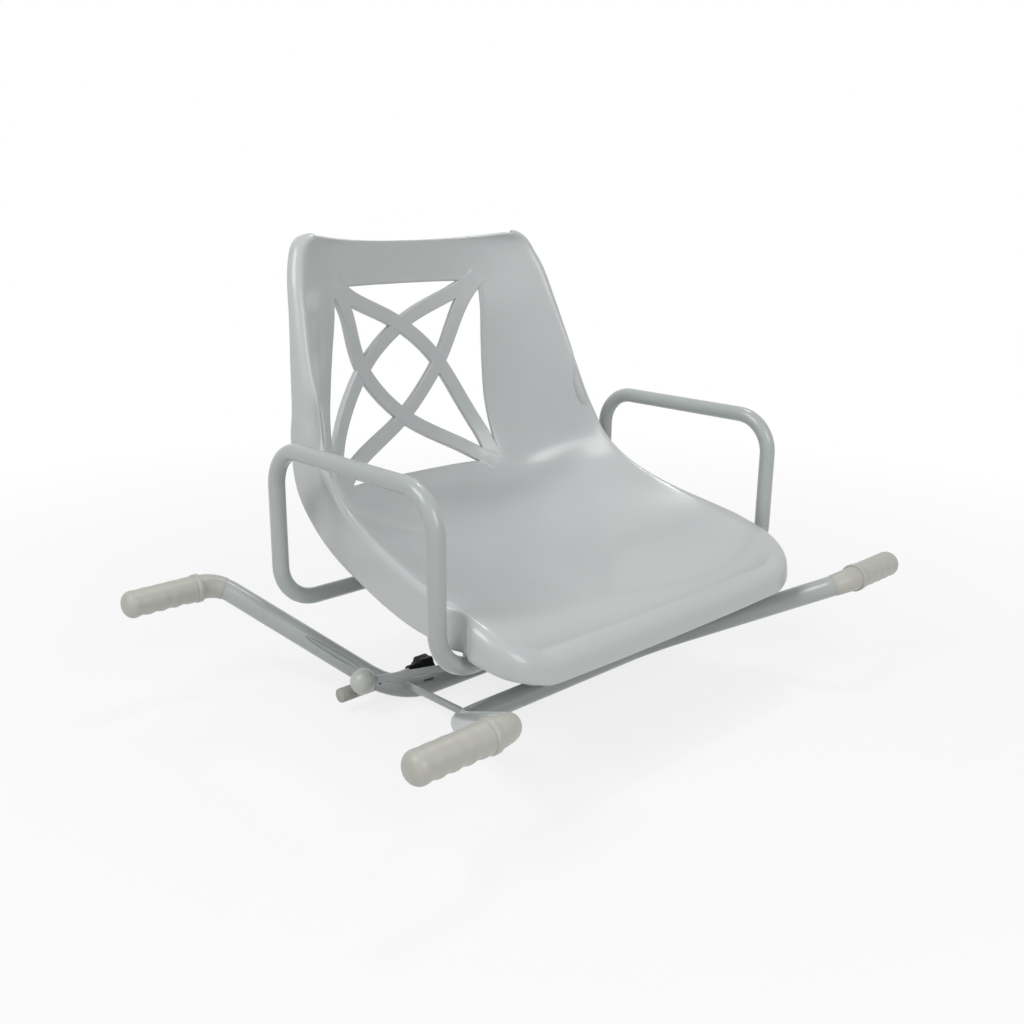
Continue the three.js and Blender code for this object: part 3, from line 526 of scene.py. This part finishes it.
for side, x in (("left", 1), ("right", -1)):
    armrest = bent_tube(f"armrest_tube_{side}", [
        (x * armrest_inner_x, armrest_rear_y, armrest_leg_z),
        (x * armrest_x, armrest_rear_y, armrest_leg_z),
        (x * armrest_x, armrest_rear_y, armrest_rail_z),
        (x * armrest_x, armrest_front_y, armrest_rail_z),
        (x * armrest_x, armrest_front_y, armrest_leg_z),
        (x * armrest_inner_x, armrest_front_y, armrest_leg_z),
    ], [armrest_bend_r] * 4, armrest_d)
    armrest.data.materials.append(powder_coat)
    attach(armrest, "seat")
    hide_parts(f"armrest_{side}")

# Frame tubes. The front and the rear one are bent alike from one length each of 24 mm steel
# tube: a low bar under the seat, an arm rising outward at each end, and a level end for the
# sleeve. They are powder coated with the armrests.
tube_d = 24
bar_z = 12
bar_y = 47
bar_corner_x = 158
bar_bend_r = 68
arm_corner_x = 264
arm_corner_y = 240
arm_rise = 104
arm_bend_r = 32
arm_tip_x = 370

# The rear tube has a long groove pressed in each arm, two small drain holes at its foot and a
# slot in the bar: kind, place, direction along, direction out, and half sizes.
tube_cuts = (
    ("groove", (-201.1, 105.7, 54.3), (-0.441, 0.793, 0.421), (-0.57, -0.61, 0.54), (38, 3.6, 4.5)),
    ("hole", (-174.8, 59.3, 26.4), (0.6, -0.6, 0), (-0.63, -0.74, 0.25), (1.7, 1.7, 3)),
    ("hole", (-166.5, 54.9, 28.1), (0.6, -0.6, 0), (-0.33, -0.73, 0.59), (1.2, 1.2, 3)),
    ("slot", (-122.0, 39.3, 21.1), (0.99, -0.1, -0.03), (-0.03, -0.66, 0.75), (6.8, 1.5, 5)),
)
for end, y in (("front", -1), ("rear", 1)):
    tube = bent_tube(f"bent_frame_tube_{end}", [
        (-arm_tip_x, y * arm_corner_y, bar_z + arm_rise),
        (-arm_corner_x, y * arm_corner_y, bar_z + arm_rise),
        (-bar_corner_x, y * bar_y, bar_z),
        (bar_corner_x, y * bar_y, bar_z),
        (arm_corner_x, y * arm_corner_y, bar_z + arm_rise),
        (arm_tip_x, y * arm_corner_y, bar_z + arm_rise),
    ], [arm_bend_r, bar_bend_r, bar_bend_r, arm_bend_r], tube_d)
    if end == "rear":
        weld(tube)
        for x in (-1, 1):
            for kind, spot, along, facing, size in tube_cuts:
                deselect()
                if kind == "slot":
                    bpy.ops.mesh.primitive_cube_add(size=2)
                elif kind == "hole":
                    bpy.ops.mesh.primitive_cylinder_add(vertices=20, radius=1, depth=2)
                else:
                    bpy.ops.mesh.primitive_uv_sphere_add(segments=24, ring_count=24, radius=1)
                cutter = bpy.context.object
                flip = Vector((-x, 1, 1))
                spot, along, facing = (Vector(v) * flip for v in (spot, along, facing))
                aside = facing.cross(along).normalized()
                along = aside.cross(facing).normalized()
                cut_axes = Matrix((along * size[0], aside * size[1], facing.normalized() * size[2]))
                for vertex in cutter.data.vertices:
                    vertex.co = (spot + cut_axes.transposed() @ vertex.co) * MM
                weld(cutter)
                join_in(tube, cutter, "DIFFERENCE")
        smooth(tube)
    tube.data.materials.clear()
    tube.data.materials.append(powder_coat)
    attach(tube, "frame")
    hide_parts(f"{end}_tube")

# Rim sleeves. Soft PVC grips pushed on the four tube ends, with finger waves below, a ring at
# the inner end and a thin cuff that follows the tube round its bend.
sleeve_d = 30
sleeve_start_x = 286
sleeve_tip_x = 374.3
sleeve_ring_d = 32
sleeve_ring_length = 7
sleeve_gap = 0.3
ring_corner = 0.8
ring_chamfer = 0.6
ring_foot = 0.4
cuff_wall = 2.2
cuff_edge = 0.6
cuff_clear = 0.2
cuff_bend_steps = 16
cuff_bare_steps = 5
wave_depth = 1.3
wave_above_share = 0.25
wave_pitch = 15.6
wave_clear = 2
wave_growth = 10
tip_r = 10
tip_steps = 8
grip_steps = 60

# Plasticised PVC, dip moulded: a matt beige grey with a slight mottle.
soft_pvc = empty_material("soft_pvc_beige_grey")
place = add_node(soft_pvc, "ShaderNodeTexCoord")
mottle = add_node(soft_pvc, "ShaderNodeTexNoise", {
    "Scale": 60, "Detail": 3,
}, {"Vector": (place, "Object")})
bump = add_node(soft_pvc, "ShaderNodeBump", {
    "Strength": 0.08, "Distance": 0.001,
}, {"Height": (mottle, "Fac")})
skin = add_node(soft_pvc, "ShaderNodeBsdfPrincipled", {
    "Base Color": linear("B8B8B0"), "Roughness": 0.42, "IOR": 1.53,
}, {"Normal": (bump, "Normal")})
add_node(soft_pvc, "ShaderNodeOutputMaterial", (), {"Surface": (skin, "BSDF")})

grip_profile = [(0, sleeve_tip_x)]
for step in range(1, tip_steps + 1):
    angle = math.pi / 2 * step / tip_steps
    grip_profile.append((sleeve_d / 2 - tip_r * (1 - math.sin(angle)),
                         sleeve_tip_x - tip_r * (1 - math.cos(angle))))
grip_end_x = sleeve_start_x + sleeve_ring_length
straight_x = sleeve_tip_x - tip_r
for step in range(1, grip_steps + 1):
    grip_profile.append((sleeve_d / 2, straight_x - (straight_x - grip_end_x - 1) * step / grip_steps))
ring_r = sleeve_ring_d / 2
inner_r = tube_d / 2 + sleeve_gap
grip_profile += [
    (sleeve_d / 2 - ring_foot, grip_end_x + ring_foot), (ring_r - ring_chamfer, grip_end_x),
    (ring_r, grip_end_x - ring_corner), (ring_r, sleeve_start_x + ring_corner),
    (ring_r - ring_chamfer, sleeve_start_x), (inner_r, sleeve_start_x),
    (inner_r, arm_tip_x + sleeve_gap), (0, arm_tip_x + sleeve_gap),
]

for end, y in (("front", -1), ("rear", 1)):
    for side, x in (("left", 1), ("right", -1)):
        line = curve_through([(along * MM, 0, radius * MM) for radius, along in grip_profile],
                             dimensions="3D")
        grip = as_mesh(line, f"rim_grip_{end}_{side}")
        apply_modifier(grip, "SCREW", axis="X", steps=48, render_steps=48, use_merge_vertices=True,
                       merge_threshold=0.00005)
        for vertex in grip.data.vertices:
            along = vertex.co.x / MM
            radius = math.hypot(vertex.co.y, vertex.co.z)
            if radius < (tube_d / 2 + 1) * MM or not grip_end_x + wave_clear < along < straight_x:
                continue
            below = max(-vertex.co.z / radius, 0) ** 0.7
            below = wave_above_share + (1 - wave_above_share) * below
            wave = (1 - math.cos(2 * math.pi * (straight_x - along) / wave_pitch)) / 2
            fade = min((along - grip_end_x - wave_clear) / wave_growth, 1)
            share = 1 - wave_depth * wave * below * fade * MM / radius
            vertex.co.y *= share
            vertex.co.z *= share
        for vertex in grip.data.vertices:
            vertex.co = Vector((x * vertex.co.x, vertex.co.y + y * arm_corner_y * MM,
                                vertex.co.z + (bar_z + arm_rise) * MM))
        pick(grip)
        bpy.ops.object.mode_set(mode="EDIT")
        bpy.ops.mesh.select_all(action="SELECT")
        bpy.ops.mesh.normals_make_consistent(inside=False)
        bpy.ops.object.mode_set(mode="OBJECT")

        corner = Vector((x * arm_corner_x, y * arm_corner_y, bar_z + arm_rise))
        low_corner = Vector((x * bar_corner_x, y * bar_y, bar_z))
        inner_end = Vector((x * (sleeve_start_x + sleeve_ring_length / 2), corner.y, corner.z))
        bend = bent_line([low_corner, corner, inner_end], [arm_bend_r], cuff_bend_steps)
        cuff_r = tube_d / 2 + cuff_wall
        line = curve_through(bend[cuff_bare_steps:], dimensions="3D", bevel_depth=cuff_r * MM,
                             bevel_resolution=10, use_fill_caps=False)
        spots = line.data.splines[0].points
        for step, spot in enumerate(spots):
            thinner = (cuff_wall - cuff_edge) * (1 - step / (len(spots) - 1))
            spot.radius = 1 - thinner / cuff_r
        cuff = as_mesh(line, "cuff")
        apply_modifier(cuff, "SOLIDIFY", thickness=(cuff_edge - cuff_clear) * MM, offset=-1)
        deselect()
        cuff.select_set(True)
        grip.select_set(True)
        bpy.context.view_layer.objects.active = grip
        bpy.ops.object.join()
        smooth(grip, 50)
        grip.data.materials.append(soft_pvc)
        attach(grip, "frame")
        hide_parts(f"rim_sleeve_{end}_{side}")

# Plates, column, rails and tie rods. Cut and drilled steel parts, coated with the frame. Each
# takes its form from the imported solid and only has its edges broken.
plate_edge = 0.4


def broken_edges(node, name, width, material):
    source = frame["nodes"][node]
    piece = bpy.data.objects.new(name, source.data.copy())
    bpy.context.collection.objects.link(piece)
    piece.data.materials.clear()
    pick(piece)
    bpy.ops.object.mode_set(mode="EDIT")
    bpy.ops.mesh.select_all(action="SELECT")
    bpy.ops.mesh.remove_doubles(threshold=weld_gap * MM)
    bpy.ops.mesh.dissolve_limited(angle_limit=math.radians(0.5))
    bpy.ops.object.mode_set(mode="OBJECT")
    apply_modifier(piece, "BEVEL", width=width * MM, segments=2, limit_method="ANGLE",
                   angle_limit=math.radians(50))
    smooth(piece)
    piece.data.materials.append(material)
    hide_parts(node)
    return piece


coated_parts = {
    "base_plate": "frame", "tie_rod_left": "frame", "tie_rod_right": "frame", "stop_boss_left": "frame",
    "stop_boss_right": "frame", "column": "seat", "seat_plate": "seat", "seat_rail_left": "seat",
    "seat_rail_right": "seat", "lock_lever": "lever",
}
for node, body in coated_parts.items():
    piece = broken_edges(node, f"coated_{node}", plate_edge, powder_coat)
    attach(piece, body)

# Screws, bolts, nuts, pin, spring and locking disc. Bought or stamped steel parts with a bright
# zinc plating, some of them hidden inside the column.
turned_edge = 0.25

# Bright zinc on steel, slightly dulled by its passivation.
zinc = empty_material("zinc_plated_steel")
skin = add_node(zinc, "ShaderNodeBsdfPrincipled", {
    "Base Color": linear("B4B8BA"), "Metallic": 1.0, "Roughness": 0.32,
})
add_node(zinc, "ShaderNodeOutputMaterial", (), {"Surface": (skin, "BSDF")})

bodies_stated = frame["record"]["behaviour"]["bodies"]
body_of_node = {node: body for body, nodes in bodies_stated.items() for node in nodes}
slot_of_node = {part["node"]: part["material_slot"] for part in frame["record"]["subparts"]}
for node in sorted(frame["nodes"]):
    if slot_of_node[node] == "zinc_plated_steel" and not node.startswith("stop_screw"):
        piece = broken_edges(node, f"plated_{node}", turned_edge, zinc)
        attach(piece, body_of_node[node])

# Stop screws. Zinc-plated studding with a rolled 1.5 mm thread, which runs in the frame's two
# bosses. The thread is one long ribbon wound round, its turns welded and its ends filled.
stop_y = 71
stop_z = 21.5
thread_d = 8
thread_pitch = 1.5
thread_depth = 0.8
thread_turn_steps = 20
thread_form = ((0, 1), (0.3, 0), (0.5, 0), (0.8, 1), (1, 1))
for side in ("left", "right"):
    low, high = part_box(f"stop_screw_{side}")
    turns = round((high[0] - low[0]) / (thread_pitch * MM)) - 1
    deselect()
    form_steps = len(thread_form) - 1
    bpy.ops.mesh.primitive_grid_add(x_subdivisions=turns * thread_turn_steps, y_subdivisions=form_steps,
                                    size=2)
    screw = bpy.context.object
    screw.name = f"threaded_stop_screw_{side}"
    for vertex in screw.data.vertices:
        wound = (vertex.co.x + 1) / 2 * turns
        along, crest = thread_form[round((vertex.co.y + 1) / 2 * form_steps)]
        radius = (thread_d / 2 - thread_depth * (1 - crest)) * MM
        angle = 2 * math.pi * wound
        vertex.co = (low[0] + (wound + along) * thread_pitch * MM,
                     stop_y * MM + radius * math.cos(angle), stop_z * MM + radius * math.sin(angle))
    weld(screw)
    bpy.ops.object.mode_set(mode="EDIT")
    bpy.ops.mesh.select_all(action="SELECT")
    bpy.ops.mesh.fill_holes(sides=0)
    bpy.ops.mesh.normals_make_consistent(inside=False)
    bpy.ops.object.mode_set(mode="OBJECT")
    smooth(screw, 35)
    screw.data.materials.append(zinc)
    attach(screw, f"{side}_stop_screw")
    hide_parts(f"stop_screw_{side}")

# Glide ring and pivot bush. Turned from natural nylon, so that the seat turns without grease:
# the ring stays on the frame under the seat, and the bush turns with the column.
nylon_edge = 0.25

# Natural nylon: ivory white, and slightly translucent at its edges.
nylon = empty_material("nylon_natural")
skin = add_node(nylon, "ShaderNodeBsdfPrincipled", {
    "Base Color": linear("E4E2DA"), "Roughness": 0.45, "IOR": 1.53, "Subsurface Weight": 0.1,
})
add_node(nylon, "ShaderNodeOutputMaterial", (), {"Surface": (skin, "BSDF")})
for node, body in (("glide_ring", "frame"), ("pivot_bush", "seat")):
    piece = broken_edges(node, f"turned_{node}", nylon_edge, nylon)
    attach(piece, body)

# Lever ball. A ball knob of grey plastic, moulded and pressed on the end of the lever's rod, where
# the hand pulls it forward to free the seat.
ball_x = -204
ball_y = 50
ball_z = 40.5
ball_d = 28

# Grey plastic, polished in the mould.
ball_plastic = empty_material("ball_knob_grey_plastic")
skin = add_node(ball_plastic, "ShaderNodeBsdfPrincipled", {
    "Base Color": linear("C6C8C2"), "Roughness": 0.3, "IOR": 1.5,
})
add_node(ball_plastic, "ShaderNodeOutputMaterial", (), {"Surface": (skin, "BSDF")})

deselect()
bpy.ops.mesh.primitive_uv_sphere_add(segments=64, ring_count=32, radius=ball_d / 2 * MM)
ball = bpy.context.object
ball.name = "ball_knob"
for vertex in ball.data.vertices:
    vertex.co += Vector((ball_x, ball_y, ball_z)) * MM
ball.data.materials.append(ball_plastic)
smooth(ball)
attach(ball, "lever")
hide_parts("lever_ball")

# Star knobs and rubber buffers of the screw stops. The knob is moulded black plastic on the
# screw's inner end, and the buffer is a rubber foot that presses on the bath's side.
knob_edge = 1.2
knob_turn = math.radians(30)

# Phenolic resin: black all through, with little gloss.
black_plastic = empty_material("phenolic_black")
skin = add_node(black_plastic, "ShaderNodeBsdfPrincipled", {
    "Base Color": linear("060606"), "Roughness": 0.5, "IOR": 1.5, "Specular IOR Level": 0.25,
})
add_node(black_plastic, "ShaderNodeOutputMaterial", (), {"Surface": (skin, "BSDF")})

# Grey rubber: dull, and a little warm beside the coated steel.
rubber = empty_material("rubber_grey")
skin = add_node(rubber, "ShaderNodeBsdfPrincipled", {
    "Base Color": linear("ADADA5"), "Roughness": 0.65, "IOR": 1.52,
})
add_node(rubber, "ShaderNodeOutputMaterial", (), {"Surface": (skin, "BSDF")})

for side in ("left", "right"):
    knob = broken_edges(f"stop_knob_{side}", f"star_knob_{side}", knob_edge, black_plastic)
    for vertex in knob.data.vertices:
        y, z = vertex.co.y - stop_y * MM, vertex.co.z - stop_z * MM
        vertex.co.y = stop_y * MM + y * math.cos(knob_turn) - z * math.sin(knob_turn)
        vertex.co.z = stop_z * MM + y * math.sin(knob_turn) + z * math.cos(knob_turn)
    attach(knob, f"{side}_stop_screw")
    buffer = broken_edges(f"stop_buffer_{side}", f"rubber_buffer_{side}", knob_edge, rubber)
    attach(buffer, f"{side}_stop_pad")

# Floor, light and camera: a plain pale floor, soft studio light, and the photograph's view. Seen
# by the camera or in a reflection, the floor runs out into plain white away from the seat.
floor_size = 12
lamps_aim_at = Vector((0, 0, 0.2))
camera_place = (-0.8417, -0.8346, 0.5367)
camera_lens = 38.75


def sees_white(material):
    ray = add_node(material, "ShaderNodeLightPath")
    seen = add_node(material, "ShaderNodeMath", {
        "operation": "MAXIMUM",
    }, {0: (ray, "Is Camera Ray"), 1: (ray, "Is Glossy Ray")})
    return add_node(material, "ShaderNodeMath", {
        "operation": "MAXIMUM",
    }, {0: (seen, "Value"), 1: (ray, "Is Transmission Ray")})


pale_floor = empty_material("pale_floor")
place = add_node(pale_floor, "ShaderNodeTexCoord")
away = add_node(pale_floor, "ShaderNodeVectorMath", {
    "operation": "LENGTH",
}, {"Vector": (place, "Object")})
fade = add_node(pale_floor, "ShaderNodeMapRange", {
    "From Min": 0.5, "From Max": 1.4, "To Min": 0.8,
}, {"Value": (away, "Value")})
share = add_node(pale_floor, "ShaderNodeMath", {
    "operation": "MULTIPLY",
}, {0: (fade, "Result"), 1: (sees_white(pale_floor), "Value")})
matt = add_node(pale_floor, "ShaderNodeBsdfPrincipled", {
    "Base Color": linear("F2F2F2"), "Roughness": 0.9,
})
white = add_node(pale_floor, "ShaderNodeEmission", {"Color": (1, 1, 1, 1), "Strength": 1})
seen = add_node(pale_floor, "ShaderNodeMixShader", (), {
    0: (share, "Value"), 1: (matt, "BSDF"), 2: (white, "Emission"),
})
add_node(pale_floor, "ShaderNodeOutputMaterial", (), {"Surface": (seen, "Shader")})
deselect()
bpy.ops.mesh.primitive_plane_add(size=floor_size)
floor = bpy.context.object
floor.name = "floor"
floor.data.materials.append(pale_floor)

world = bpy.data.worlds.new("studio")
world.use_nodes = True
world.node_tree.nodes.clear()
fill = add_node(world, "ShaderNodeBackground", {"Color": (1, 1, 1, 1), "Strength": 0.26})
white = add_node(world, "ShaderNodeBackground", {"Color": (1, 1, 1, 1), "Strength": 1})
seen = add_node(world, "ShaderNodeMixShader", (), {
    0: (sees_white(world), "Value"), 1: (fill, "Background"), 2: (white, "Background"),
})
add_node(world, "ShaderNodeOutputWorld", (), {"Surface": (seen, "Shader")})
bpy.context.scene.world = world

for name, place, size, power in (
    ("soft_box_left", (-1.7, 0.1, 2.0), 1.1, 25),
    ("soft_box_front", (-0.3, -2.2, 1.5), 1.2, 20),
    ("top_light", (0.7, 0.35, 2.1), 0.3, 7),
):
    deselect()
    bpy.ops.object.light_add(type="AREA", location=place)
    lamp = bpy.context.object
    lamp.name = name
    lamp.data.size = size
    lamp.data.energy = power
    lamp.rotation_euler = (lamps_aim_at - Vector(place)).to_track_quat("-Z", "Y").to_euler()

# The camera stands and looks as the photograph's did, fitted to points on the tubes, the armrests
# and the shell's rim.
yaw = math.radians(44.2)
pitch = math.radians(-16.3)
roll = math.radians(0.6)
ahead = Vector((math.sin(yaw) * math.cos(pitch), math.cos(yaw) * math.cos(pitch), math.sin(pitch)))
level_right = Vector((math.cos(yaw), -math.sin(yaw), 0))
level_up = level_right.cross(ahead)
right = level_right * math.cos(roll) + level_up * math.sin(roll)
up = level_up * math.cos(roll) - level_right * math.sin(roll)
deselect()
bpy.ops.object.camera_add(location=camera_place)
camera = bpy.context.object
camera.rotation_euler = Matrix((right, up, -ahead)).transposed().to_euler()
camera.data.lens = camera_lens
camera.data.sensor_width = 36
camera.data.shift_x = -0.0024
camera.data.shift_y = 0.008
bpy.context.scene.camera = camera
bpy.context.scene.view_settings.view_transform = "Standard"
